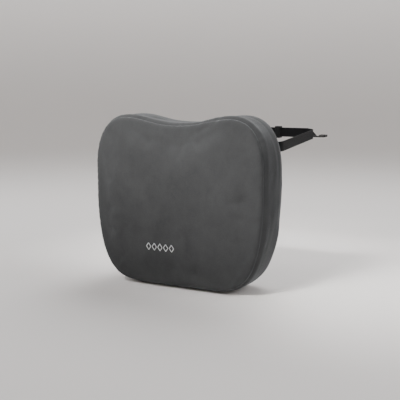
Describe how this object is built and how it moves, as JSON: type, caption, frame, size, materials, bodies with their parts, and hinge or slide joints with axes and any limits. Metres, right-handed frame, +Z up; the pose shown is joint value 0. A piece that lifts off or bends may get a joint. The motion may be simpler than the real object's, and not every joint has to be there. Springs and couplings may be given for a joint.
{
  "type": "headrest neck pillow",
  "caption": "Soft car headrest neck pillow with a two-lobed top edge, zipped cover over a foam core, and an adjustable buckled strap behind.",
  "frame": {"origin": "centre of the flat base edge that the pillow stands on, midway between the front and back seams", "axes": "+Z up, front panel towards -Y, back panel and strap towards +Y, +X to the right seen from the front"},
  "size_m": [0.2807, 0.2813, 0.254],
  "materials": {
    "charcoal_suede": "short brushed nap, matte",
    "charcoal_backing_cloth": "plain knit, matte",
    "memory_foam": "open-cell foam",
    "zip_tape_cloth": "woven tape",
    "zip_nylon": "moulded coil",
    "zip_black_metal": "black plated die casting",
    "black_webbing": "ribbed elastic webbing",
    "black_acetal": "moulded, satin"
  },
  "bodies": {
    "pillow": {"foam_core": "memory_foam", "front_panel": "charcoal_suede", "side_band": "charcoal_suede", "back_panel": "charcoal_backing_cloth", "zip_tape_upper": "zip_tape_cloth", "zip_tape_lower": "zip_tape_cloth", "zip_chain": "zip_nylon", "zip_stop_closed_end": "zip_black_metal", "zip_stop_open_end": "zip_black_metal", "strap_patch_right": "charcoal_suede", "strap_patch_left": "charcoal_suede", "strap_right": "black_webbing", "strap_left": "black_webbing", "buckle_plug": "black_acetal"},
    "zip_slider": {"zip_slider": "zip_black_metal"},
    "zip_pull": {"zip_pull": "zip_black_metal"},
    "buckle_socket": {"buckle_socket": "black_acetal"},
    "strap_slide": {"strap_slide": "black_acetal"}
  },
  "joints": [
    {"name": "zip_travel", "type": "slide", "parent": "pillow", "child": "zip_slider", "axis": [1, 0, 0], "range_m": [-0.16, 0]},
    {"name": "pull_swing", "type": "hinge", "parent": "zip_slider", "child": "zip_pull", "pos_m": [0.08, 0.0429, 0.05], "axis": [0, 0, 1], "range_deg": [0, 175]},
    {"name": "buckle_release", "type": "slide", "parent": "pillow", "child": "buckle_socket", "axis": [-1, 0, 0], "range_m": [0, 0.024], "deforming": ["strap_left"]},
    {"name": "strap_adjust", "type": "slide", "parent": "pillow", "child": "strap_slide", "axis": [1, 0, 0], "range_m": [-0.03, 0.03]}
  ]
}
